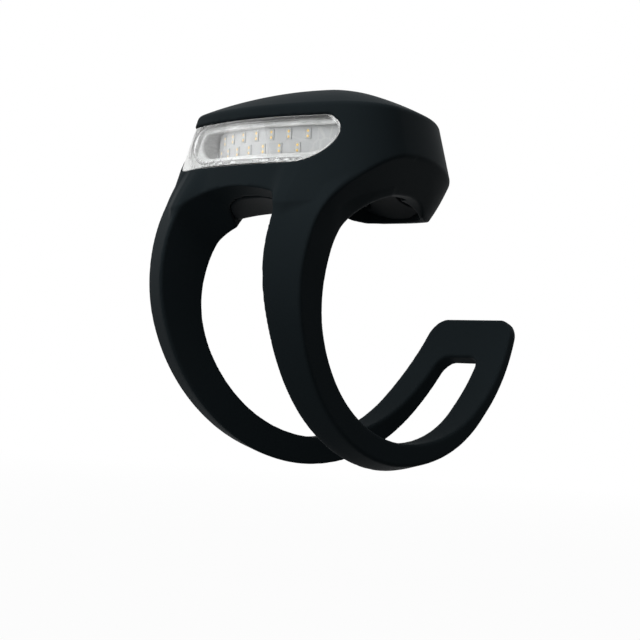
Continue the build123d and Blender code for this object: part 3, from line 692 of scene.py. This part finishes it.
def settle(points, quads, field, cell):
    """Evens the points out along the surface and draws them onto it."""
    even_turns = 3
    last_turns = 2
    least_slope = 0.05
    pace = 0.5
    pairs = np.vstack([quads[:, [a, (a + 1) % 4]] for a in range(4)])
    count = np.bincount(pairs[:, 0], minlength=len(points)) + np.bincount(pairs[:, 1], minlength=len(points))
    for turn in range(even_turns + last_turns):
        value, slope = slope_of(field, points)
        size = np.maximum((slope**2).sum(axis=1), least_slope)
        step = -value / size
        move = slope * step[:, None]
        reach = np.linalg.norm(move, axis=1)
        move *= np.minimum(1, pace * cell / np.maximum(reach, 1e-9))[:, None]
        points = points + move
        if turn < even_turns:
            middle = np.empty_like(points)
            for axis in range(3):
                first = np.bincount(pairs[:, 0], weights=points[pairs[:, 1], axis], minlength=len(points))
                second = np.bincount(pairs[:, 1], weights=points[pairs[:, 0], axis], minlength=len(points))
                middle[:, axis] = (first + second) / count
            drift = middle - points
            normal = slope / np.sqrt(size)[:, None]
            drift -= normal * (drift * normal).sum(axis=1)[:, None]
            points = points + pace * drift
    return points


# Shader maths as Python expressions


class Wire:
    """A shader socket that can be added, subtracted and multiplied."""

    def __init__(self, graph, socket):
        self.graph = graph
        self.socket = socket

    def __add__(self, other):
        return self.graph.maths("ADD", self, other)

    def __sub__(self, other):
        return self.graph.maths("SUBTRACT", self, other)

    def __rsub__(self, other):
        return self.graph.maths("SUBTRACT", other, self)

    def __mul__(self, other):
        return self.graph.maths("MULTIPLY", self, other)


class NodeGraph:
    """Nodes of any tree, made one call at a time."""

    def __init__(self, tree):
        self.tree = tree

    def node(self, kind, settings=None, inputs=None, output=0):
        """Adds a node: settings first, then the values or links of its sockets."""
        made = self.tree.nodes.new(kind)
        for name, value in (settings or {}).items():
            setattr(made, name, value)
        for name, value in (inputs or {}).items():
            socket = made.inputs[name]
            if isinstance(value, Wire):
                self.tree.links.new(value.socket, socket)
            elif socket.type == "RGBA" and len(value) == 3:
                socket.default_value = (*value, 1.0)
            else:
                socket.default_value = value
        return Wire(self, made.outputs[output])

    def maths(self, operation, first, second=0.0):
        return self.node("ShaderNodeMath", {"operation": operation}, {0: first, 1: second})


class Graph(NodeGraph):
    """The nodes of a material or a world."""

    def __init__(self, owner, output_kind="ShaderNodeOutputMaterial"):
        owner.use_nodes = True
        super().__init__(owner.node_tree)
        self.owner = owner
        self.tree.nodes.clear()
        self.output = self.tree.nodes.new(output_kind)

    def place(self):
        """Object coordinates, in metres."""
        return self.node("ShaderNodeTexCoord", output="Object")

    def stretched(self, stretch):
        """Object coordinates scaled along each axis."""
        return self.node("ShaderNodeMapping", {}, {"Vector": self.place(), "Scale": stretch})

    def noise(self, scale, detail=3.0, roughness=0.55, vector=None):
        """Noise between 0 and 1, its scale in features per metre."""
        inputs = {"Vector": vector or self.place(), "Scale": scale, "Detail": detail, "Roughness": roughness}
        return self.node("ShaderNodeTexNoise", {}, inputs, "Fac")

    def ramp(self, factor, low, high):
        """0 to 1 while the factor goes from low to high."""
        limits = {"Value": factor, "From Min": low, "From Max": high}
        return self.node("ShaderNodeMapRange", {"clamp": True}, limits)

    def blend(self, factor, first, second):
        """A colour between two colours."""
        return self.node("ShaderNodeMix", {"data_type": "RGBA"}, {0: factor, 6: first, 7: second}, 2)

    def bump(self, height, strength, distance):
        return self.node("ShaderNodeBump", {}, {"Height": height, "Strength": strength, "Distance": distance})

    def principled(self, **inputs):
        """Principled surface; underscores in names stand for spaces."""
        named = {name.replace("_", " "): value for name, value in inputs.items()}
        return self.node("ShaderNodeBsdfPrincipled", {}, named)

    def mixed(self, factor, first, second):
        return self.node("ShaderNodeMixShader", {}, {0: factor, 1: first, 2: second})

    def ray(self, kind):
        return self.node("ShaderNodeLightPath", output=kind)

    def finish(self, shader):
        self.tree.links.new(shader.socket, self.output.inputs["Surface"])
        return self.owner


def material(name):
    return Graph(bpy.data.materials.new(name))


def toned(tone, factor):
    """A colour made lighter or darker."""
    return tuple(min(1.0, channel * factor) for channel in tone)


def silicone_material(tone, roughness):
    """Matt moulded silicone: near black, with a fine grain and a trace of dust."""
    graph = material("moulded_silicone")
    broad = graph.noise(90.0, 4.0)
    fine = graph.noise(5200.0, 2.0)
    dust = graph.ramp(graph.noise(1500.0, 5.0, 0.7), 0.64, 0.82)
    base = graph.blend(broad, toned(tone, 0.88), toned(tone, 1.12))
    base = graph.blend(dust * 0.04, base, (0.12, 0.12, 0.12))
    rough = (broad - 0.5) * 0.1 + (fine - 0.5) * 0.06 + roughness
    normal = graph.bump(fine + broad * 0.2, 0.1, 0.00004)
    return graph.finish(graph.principled(Base_Color=base, Roughness=rough, Normal=normal,
                                         Specular_IOR_Level=0.005))


def plastic_material(name, tone, roughness, grain=3200.0, strength=0.2, specular=0.5):
    """Moulded plastic with a spark-eroded grain."""
    graph = material(name)
    broad = graph.noise(140.0)
    fine = graph.noise(grain)
    base = graph.blend(broad, toned(tone, 0.92), toned(tone, 1.07))
    rough = (fine - 0.5) * 0.15 + roughness
    normal = graph.bump(fine, strength, 0.00004)
    return graph.finish(graph.principled(Base_Color=base, Roughness=rough, Normal=normal,
                                         Specular_IOR_Level=specular))


def metal_material(name, tone, roughness, grain=1800.0):
    """Plated steel or foil with a slight mottle."""
    graph = material(name)
    mottle = graph.noise(grain, 4.0, 0.6)
    base = graph.blend(mottle, toned(tone, 0.85), tone)
    rough = (mottle - 0.5) * 0.2 + roughness
    normal = graph.bump(mottle, 0.15, 0.00003)
    return graph.finish(graph.principled(Base_Color=base, Metallic=1.0, Roughness=rough, Normal=normal))


def board_material(name, tone, track_tone):
    """Circuit board: solder mask over copper tracks that show as faint raised lines."""
    graph = material(name)
    cells = graph.node("ShaderNodeTexVoronoi", {"feature": "DISTANCE_TO_EDGE"},
                       {"Vector": graph.place(), "Scale": 520.0, "Randomness": 0.4}, "Distance")
    track = 1 - graph.ramp(cells, 0.02, 0.05)
    mottle = graph.noise(600.0)
    base = graph.blend(track * 0.35, tone, track_tone)
    base = graph.blend(mottle * 0.12, base, toned(tone, 0.8))
    normal = graph.bump(track + mottle * 0.1, 0.2, 0.00003)
    return graph.finish(graph.principled(Base_Color=base, Roughness=0.36, Normal=normal))


def bezel_material(tone):
    """Satin bezel plastic with light and dark streaks that are painted reflections; the same pattern gives a
    faint bump.
    """
    graph = material("bezel_plastic")
    painted_reflection_streaks = graph.noise(700.0, 4.0, 0.6, graph.stretched((1.0, 0.35, 2.2)))
    # The streaks lighten the tone up to 1.25 times: painted reflection streaks, as seen through the lens's
    # clear end.
    base = graph.blend(graph.ramp(painted_reflection_streaks, 0.35, 0.7), toned(tone, 0.62), toned(tone, 1.25))
    normal = graph.bump(painted_reflection_streaks, 0.3, 0.0001)
    return graph.finish(graph.principled(Base_Color=base, Roughness=0.28, Normal=normal))


def phosphor_material(tone):
    """Yellow phosphor under clear resin, darker towards its grains."""
    graph = material("led_phosphor")
    grains = graph.noise(9000.0, 2.0)
    base = graph.blend(grains, toned(tone, 0.8), toned(tone, 1.15))
    normal = graph.bump(grains, 0.2, 0.00002)
    return graph.finish(graph.principled(Base_Color=base, Roughness=0.35, Coat_Weight=0.3, Normal=normal))


def clear_material():
    """Clear moulded lens with faint flow lines; it lets the lamps' light through to what lies behind."""
    graph = material("clear_lens")
    flow = graph.noise(180.0, 2.0)
    normal = graph.bump(flow, 0.04, 0.0002)
    glass = graph.principled(Base_Color=(0.97, 0.98, 0.98), Roughness=0.015, IOR=1.49,
                             Transmission_Weight=1.0, Normal=normal)
    clear = graph.node("ShaderNodeBsdfTransparent", {}, {"Color": (0.94, 0.95, 0.95)})
    return graph.finish(graph.mixed(graph.ray("Is Shadow Ray"), glass, clear))


def made_object(name, mesh, material):
    """Object at the origin with its mesh and material."""
    piece = bpy.data.objects.new(name, mesh)
    bpy.context.scene.collection.objects.link(piece)
    mesh.materials.clear()
    mesh.materials.append(material)
    return piece


def moulding(name, field, box, cell, material):
    """Piece whose mesh follows a field inside a box."""
    return made_object(name, mesh_of_field(name, field, *box, cell), material)


def dress(node, material):
    """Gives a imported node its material."""
    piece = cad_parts[node]
    piece.data.materials.clear()
    piece.data.materials.append(material)
    return piece


class TAILLIGHT_OT_case(bpy.types.Operator):
    """Builds the silicone case with its strap as one moulding"""

    bl_idname = "tail_light.case"
    bl_label = "Silicone case"
    box = ((-23.5, -20.5, -22.0), (25.5, 20.5, 28.0))
    bend_start = (-0.022, 0.0, 0.005)
    bend_end = (-0.0204, 0.0, -0.004)

    def execute(self, context):
        form = TailLightForm(context.scene)
        settings = context.scene.tail_light_case
        silicone = silicone_material(tuple(settings.tone), settings.roughness)
        piece = moulding("silicone_case", form.silicone, self.box, form.case["cell"], silicone)
        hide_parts("silicone_body", "silicone_strap")
        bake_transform(piece)
        return {"FINISHED"}


class TAILLIGHT_OT_cover(bpy.types.Operator):
    """Builds the rigid cover of the underside"""

    bl_idname = "tail_light.cover"
    bl_label = "Underside cover"
    box = ((-17.5, -14.5, 8.0), (12.5, 14.5, 18.0))
    cell = 0.2

    def execute(self, context):
        form = TailLightForm(context.scene)
        plastic = plastic_material("cover_plastic", (0.0105, 0.0132, 0.0150), 0.45, specular=0.008)
        piece = moulding("underside_cover", form.base, self.box, self.cell, plastic)
        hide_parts("base_cover")
        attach(piece, "housing")
        return {"FINISHED"}


class TAILLIGHT_OT_window(bpy.types.Operator):
    """Builds the clear window"""

    bl_idname = "tail_light.window"
    bl_label = "Window"
    box = ((-20.0, -16.5, 13.5), (-7.0, 18.5, 23.5))
    cell = 0.2

    def execute(self, context):
        form = TailLightForm(context.scene)
        piece = moulding("clear_window", form.lens, self.box, self.cell, clear_material())
        mesh = piece.data
        # The lens's side and flange faces take an opaque pale grey in place of clear plastic: a painted
        # reflection, standing in for the light seen in the clear edge.
        mesh.materials.append(plastic_material("painted_reflection_rim", (0.5, 0.5, 0.495), 0.5))
        middles = np.array([face.center for face in mesh.polygons]) / MM
        mesh.polygons.foreach_set("material_index", form.painted_reflection_faces(middles).astype(np.int32))
        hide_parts("lens")
        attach(piece, "housing")
        return {"FINISHED"}


def led_body_mesh(lamp):
    """Package lying in the YZ plane and facing -X: a body with softened edges and a raised rim."""
    rim = 0.09
    slant = 0.04
    hollow = 0.05
    softening = 0.03
    shape = bmesh.new()
    bmesh.ops.create_cube(shape, size=1.0)
    size = Vector((lamp["led_depth"], lamp["led_width"], lamp["led_height"]))
    middle = Vector((-lamp["led_lift"] - lamp["led_depth"] / 2, 0, 0))
    for vertex in shape.verts:
        vertex.co = Vector(a * b for a, b in zip(vertex.co, size)) + middle
    front = min(shape.faces, key=lambda face: face.calc_center_median().x)
    bmesh.ops.inset_region(shape, faces=[front], thickness=rim, depth=0.0)
    bmesh.ops.inset_region(shape, faces=[front], thickness=slant, depth=-hollow)
    edges = [edge for edge in shape.edges if edge.calc_length() > 0.3 and edge.calc_face_angle(0) > 1.2]
    bmesh.ops.bevel(shape, geom=edges, offset=softening, segments=2, profile=0.7, affect="EDGES")
    return mesh_from(shape, "led_body")


def emitter_mesh(lamp):
    """The package's two emitters: low domes on its face."""
    flatness = 0.4
    sunk = 0.045
    foot = -0.02
    shape = bmesh.new()
    for side in (-1, 1):
        dome = bmesh.ops.create_uvsphere(shape, u_segments=20, v_segments=10, radius=lamp["emitter_radius"])
        for vertex in dome["verts"]:
            height = max(vertex.co.z, foot) * flatness
            vertex.co = Vector((-lamp["led_lift"] - lamp["led_depth"] + sunk - height, vertex.co.y,
                                side * lamp["emitter_spread"] + vertex.co.x))
    return mesh_from(shape, "emitters")


def mesh_from(shape, name):
    """Smooth mesh in metres from a bmesh in millimetres."""
    bmesh.ops.scale(shape, vec=(MM, MM, MM), verts=shape.verts)
    bmesh.ops.recalc_face_normals(shape, faces=shape.faces)
    mesh = bpy.data.meshes.new(name)
    shape.to_mesh(mesh)
    shape.free()
    mesh.shade_smooth()
    return mesh


def lamp_rows_tree():
    """Geometry Nodes group: a piece repeated along two rows of the curved lamp board."""
    tree = bpy.data.node_groups.new("lamp_rows", "GeometryNodeTree")
    tree.interface.new_socket("Geometry", in_out="OUTPUT", socket_type="NodeSocketGeometry")
    for name, kind in (("Piece", "Object"), ("Material", "Material"), ("Pitch", "Float"), ("Radius", "Float"),
                       ("Centre", "Float"), ("Upper height", "Float"), ("Lower height", "Float"),
                       ("Upper shift", "Float"), ("Lower shift", "Float"), ("Count", "Int")):
        tree.interface.new_socket(name, in_out="INPUT", socket_type="NodeSocket" + kind)
    graph = NodeGraph(tree)
    inputs = graph.node("NodeGroupInput").socket.node.outputs

    def given(name):
        return Wire(graph, inputs[name])

    piece = graph.node("GeometryNodeObjectInfo", {"transform_space": "ORIGINAL"},
                       {"Object": given("Piece")}, "Geometry")
    index = graph.node("GeometryNodeInputIndex")
    rows = []
    for row in ("Upper", "Lower"):
        along = (index - (given("Count") - 1) * 0.5) * given("Pitch") + given(row + " shift")
        angle = graph.maths("DIVIDE", along, given("Radius"))
        x = given("Centre") - graph.maths("COSINE", angle) * given("Radius")
        y = graph.maths("SINE", angle) * given("Radius")
        place = graph.node("ShaderNodeCombineXYZ", {}, {"X": x, "Y": y, "Z": given(row + " height")})
        points = graph.node("GeometryNodePoints", {}, {"Count": given("Count"), "Position": place})
        turn = graph.node("ShaderNodeCombineXYZ", {}, {"Z": 0 - angle})
        turn = graph.node("FunctionNodeEulerToRotation", {}, {"Euler": turn})
        rows.append(graph.node("GeometryNodeInstanceOnPoints", {},
                               {"Points": points, "Instance": piece, "Rotation": turn}))
    joined = graph.node("GeometryNodeJoinGeometry")
    for row in rows:
        tree.links.new(row.socket, joined.socket.node.inputs["Geometry"])
    real = graph.node("GeometryNodeRealizeInstances", {}, {"Geometry": joined})
    dressed = graph.node("GeometryNodeSetMaterial", {}, {"Geometry": real, "Material": given("Material")})
    output = tree.nodes.new("NodeGroupOutput")
    tree.links.new(dressed.socket, output.inputs["Geometry"])
    return tree


def on_rows(name, tree, mesh, material, lamp, settings):
    """One piece made by the rows' group, as a plain mesh."""
    pattern = bpy.data.objects.new(name + "_pattern", mesh)
    carrier = made_object(name, bpy.data.meshes.new(name + "_empty"), material)
    modifier = carrier.modifiers.new("rows", "NODES")
    modifier.node_group = tree
    values = {"Piece": pattern, "Material": material, "Pitch": lamp["led_pitch"] * MM,
              "Radius": lamp["lamp_radius"] * MM, "Centre": lamp["lamp_centre"] * MM,
              "Upper height": lamp["led_high"] * MM, "Lower height": lamp["led_low"] * MM,
              "Upper shift": lamp["led_shift"] * MM,
              "Lower shift": (lamp["led_shift"] + lamp["led_stagger"]) * MM, "Count": settings.led_count}
    for socket in tree.interface.items_tree:
        if socket.in_out == "INPUT":
            modifier[socket.identifier] = values[socket.name]
    carrier.update_tag()
    bpy.context.view_layer.update()
    evaluated = carrier.evaluated_get(bpy.context.evaluated_depsgraph_get())
    carrier.data = bpy.data.meshes.new_from_object(evaluated)
    carrier.modifiers.clear()
    bpy.data.objects.remove(pattern)
    return carrier


class TAILLIGHT_OT_bezel(bpy.types.Operator):
    """Builds the frame round the LEDs"""

    bl_idname = "tail_light.bezel"
    bl_label = "Bezel"
    box = ((-19.0, -16.0, 14.0), (-4.0, 16.0, 23.0))
    cell = 0.2

    def execute(self, context):
        form = TailLightForm(context.scene)
        plastic = bezel_material((0.47, 0.47, 0.465))
        piece = moulding("lamp_frame", form.bezel, self.box, self.cell, plastic)
        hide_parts("lamp_bezel")
        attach(piece, "housing")
        return {"FINISHED"}


class TAILLIGHT_OT_leds(bpy.types.Operator):
    """Builds the LED packages and their emitters along the lamp board"""

    bl_idname = "tail_light.leds"
    bl_label = "LEDs"

    def execute(self, context):
        settings = context.scene.tail_light_lamp
        lamp = in_millimetres(settings)
        lamp["lamp_centre"] = lamp_centre(in_millimetres(context.scene.tail_light_case), lamp)
        tree = lamp_rows_tree()
        ceramic = plastic_material("led_ceramic", tuple(settings.package_tone), 0.4)
        phosphor = phosphor_material(tuple(settings.phosphor_tone))
        bodies = on_rows("led_bodies", tree, led_body_mesh(lamp), ceramic, lamp, settings)
        emitters = on_rows("led_dots", tree, emitter_mesh(lamp), phosphor, lamp, settings)
        pieces = ((bodies, "led_packages", "led_ceramic"), (emitters, "led_emitters", "led_phosphor"))
        for piece, node, slot in pieces:
            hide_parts(node)
            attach(piece, "housing")
        return {"FINISHED"}


class TAILLIGHT_OT_inside(bpy.types.Operator):
    """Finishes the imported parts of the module"""

    bl_idname = "tail_light.inside"
    bl_label = "Module"

    def execute(self, context):
        lamp = context.scene.tail_light_lamp
        finishes = {
            plastic_material("shell_plastic", (0.5, 0.5, 0.5), 0.5): ["top_shell"],
            plastic_material("switch_plastic", (0.05, 0.05, 0.053), 0.5): ["switch_body"],
            plastic_material("carrier_plastic", (0.04, 0.042, 0.044), 0.42): ["lamp_carrier", "lamp_header"],
            plastic_material("gasket_rubber", (0.55, 0.55, 0.54), 0.7):
                ["lens_seal", "base_seal", "button_seal"],
            board_material("white_board", tuple(lamp.board_tone), (0.5, 0.5, 0.48)): ["lamp_board"],
            board_material("green_board", (0.02, 0.16, 0.06), (0.03, 0.22, 0.09)): ["main_board"],
            metal_material("screw_steel", (0.55, 0.55, 0.56), 0.32):
                ["cover_screw_left", "cover_screw_right", "board_screw_left", "board_screw_right"],
            metal_material("nickel_shield", (0.65, 0.64, 0.62), 0.28): ["socket_shield"],
            metal_material("pouch_foil", (0.72, 0.73, 0.74), 0.38, 900.0): ["battery_cell"],
            plastic_material("foam_tape", (0.1, 0.1, 0.1), 0.9, 2200.0, 0.6): ["battery_tape"],
            plastic_material("red_insulation", (0.5, 0.02, 0.02), 0.4): ["lead_positive"],
            plastic_material("black_insulation", (0.02, 0.02, 0.02), 0.4): ["lead_negative"],
            plastic_material("chip_mould", (0.02, 0.02, 0.022), 0.45):
                ["controller_chip", "charge_chip", "socket_tongue"],
            plastic_material("ferrite", (0.06, 0.06, 0.065), 0.6): ["boost_inductor"],
            plastic_material("fired_ceramic", (0.4, 0.28, 0.16), 0.5): ["board_passives"],
            plastic_material("natural_plastic", (0.5, 0.5, 0.48), 0.45): ["button_plunger", "switch_stem"],
        }
        for material, nodes in finishes.items():
            for node in nodes:
                dress(node, material)
        return {"FINISHED"}


class TAILLIGHT_OT_stage(bpy.types.Operator):
    """Sets the floor, the lights and the camera"""

    bl_idname = "tail_light.stage"
    bl_label = "Stage"

    eye = (-0.180251, -0.209024, -0.013737)
    backward = (-0.6452, -0.7629, -0.0421)
    rightward = (0.7603, -0.6465, 0.0631)
    floor_half = 1.5
    floor_white = 0.97
    floor_fade = (0.1, 0.5)
    aim = (0.0, 0.0, 0.003)
    softboxes = (("softbox_top", (-0.12, -0.02, 0.45), 0.4, 1.85),
                 ("softbox_front", (-0.47, -0.1, 0.05), 0.35, 1.5),
                 ("softbox_left", (-0.3, 0.4, 0.1), 0.3, 0.3))

    def floor_material(self, tone):
        """Floor that is white to the camera, to metal and to glass, but for a soft shadow."""
        graph = material("pale_floor")
        diffuse = graph.node("ShaderNodeBsdfDiffuse", {}, {"Color": tone})
        bright = graph.node("ShaderNodeEmission", {}, {"Color": (1.0, 1.0, 1.0), "Strength": 1.0})
        away = graph.node("ShaderNodeVectorMath", {"operation": "LENGTH"}, {0: graph.place()}, "Value")
        whiteness = graph.ramp(away, *self.floor_fade) * (1 - self.floor_white) + self.floor_white
        return graph.finish(graph.mixed(self.seen(graph) * whiteness, diffuse, bright))

    @staticmethod
    def seen(graph):
        """1 where the camera, a reflection or glass looks at the background, 0 for the light it gives."""
        direct = graph.ray("Is Camera Ray") + graph.ray("Is Transmission Ray")
        return graph.node("ShaderNodeMath", {"operation": "ADD", "use_clamp": True},
                          {0: direct, 1: graph.ray("Is Glossy Ray")})

    def studio_world(self, fill):
        """White background with a weaker even light."""
        graph = Graph(bpy.data.worlds.new("studio"), "ShaderNodeOutputWorld")
        soft = graph.node("ShaderNodeBackground", {}, {"Color": (1.0, 1.0, 1.0), "Strength": fill})
        white = graph.node("ShaderNodeBackground", {}, {"Color": (1.0, 1.0, 1.0), "Strength": 1.0})
        return graph.finish(graph.mixed(self.seen(graph), soft, white))

    def lamp(self, name, place, size, power):
        """Square area light aimed at the object."""
        data = bpy.data.lights.new(name, "AREA")
        data.shape = "SQUARE"
        data.size = size
        data.energy = power
        light = bpy.data.objects.new(name, data)
        bpy.context.scene.collection.objects.link(light)
        light.location = place
        light.rotation_euler = (Vector(self.aim) - Vector(place)).to_track_quat("-Z", "Y").to_euler()

    def execute(self, context):
        scene = context.scene
        settings = scene.tail_light_stage
        floor_z = cad_box[0][2] - settings.floor_drop
        mesh = bpy.data.meshes.new("floor")
        half = self.floor_half
        mesh.from_pydata([(-half, -half, floor_z), (half, -half, floor_z), (half, half, floor_z),
                          (-half, half, floor_z)], [], [(0, 1, 2, 3)])
        floor = made_object("floor", mesh, self.floor_material(tuple(settings.floor_tone)))
        scene.world = self.studio_world(settings.fill)
        for softbox in self.softboxes:
            self.lamp(*softbox)
        camera = bpy.data.cameras.new("camera")
        camera.lens = settings.focal_length
        camera.sensor_width = 36.0
        camera.clip_start = 0.01
        camera.clip_end = 10.0
        eye = bpy.data.objects.new("camera", camera)
        scene.collection.objects.link(eye)
        right = Vector(self.rightward).normalized()
        back = Vector(self.backward).normalized()
        up = back.cross(right).normalized()
        turn = Matrix((right, up, back)).transposed().to_4x4()
        eye.matrix_world = Matrix.Translation(self.eye) @ turn
        scene.camera = eye
        scene.view_settings.view_transform = "Standard"
        return {"FINISHED"}


class TAILLIGHT_PT_panel(bpy.types.Panel):
    """Lists the tail light's settings and build steps"""

    bl_idname = "TAILLIGHT_PT_panel"
    bl_label = "Tail light"
    bl_space_type = "VIEW_3D"
    bl_region_type = "UI"
    bl_category = "Tail light"

    def draw(self, context):
        scene = context.scene
        for group in (scene.tail_light_case, scene.tail_light_lamp, scene.tail_light_stage):
            box = self.layout.box()
            for name in group.__annotations__:
                box.prop(group, name)
        for operator in STEPS:
            self.layout.operator(operator.bl_idname)


GROUPS = (TailLightCase, TailLightLamp, TailLightStage)
STEPS = (TAILLIGHT_OT_stage, TAILLIGHT_OT_case, TAILLIGHT_OT_cover, TAILLIGHT_OT_window, TAILLIGHT_OT_bezel,
         TAILLIGHT_OT_leds, TAILLIGHT_OT_inside)


def register():
    for item in (*GROUPS, *STEPS, TAILLIGHT_PT_panel):
        bpy.utils.register_class(item)
    bpy.types.Scene.tail_light_case = PointerProperty(type=TailLightCase)
    bpy.types.Scene.tail_light_lamp = PointerProperty(type=TailLightLamp)
    bpy.types.Scene.tail_light_stage = PointerProperty(type=TailLightStage)


def unregister():
    del bpy.types.Scene.tail_light_case
    del bpy.types.Scene.tail_light_lamp
    del bpy.types.Scene.tail_light_stage
    for item in (TAILLIGHT_PT_panel, *STEPS, *GROUPS):
        bpy.utils.unregister_class(item)


def main():
    """Builds the light and its stage."""
    register()
    bpy.ops.tail_light.stage()
    bpy.ops.tail_light.case()
    bpy.ops.tail_light.cover()
    bpy.ops.tail_light.window()
    bpy.ops.tail_light.bezel()
    bpy.ops.tail_light.leds()
    bpy.ops.tail_light.inside()


if __name__ == "__main__":
    main()
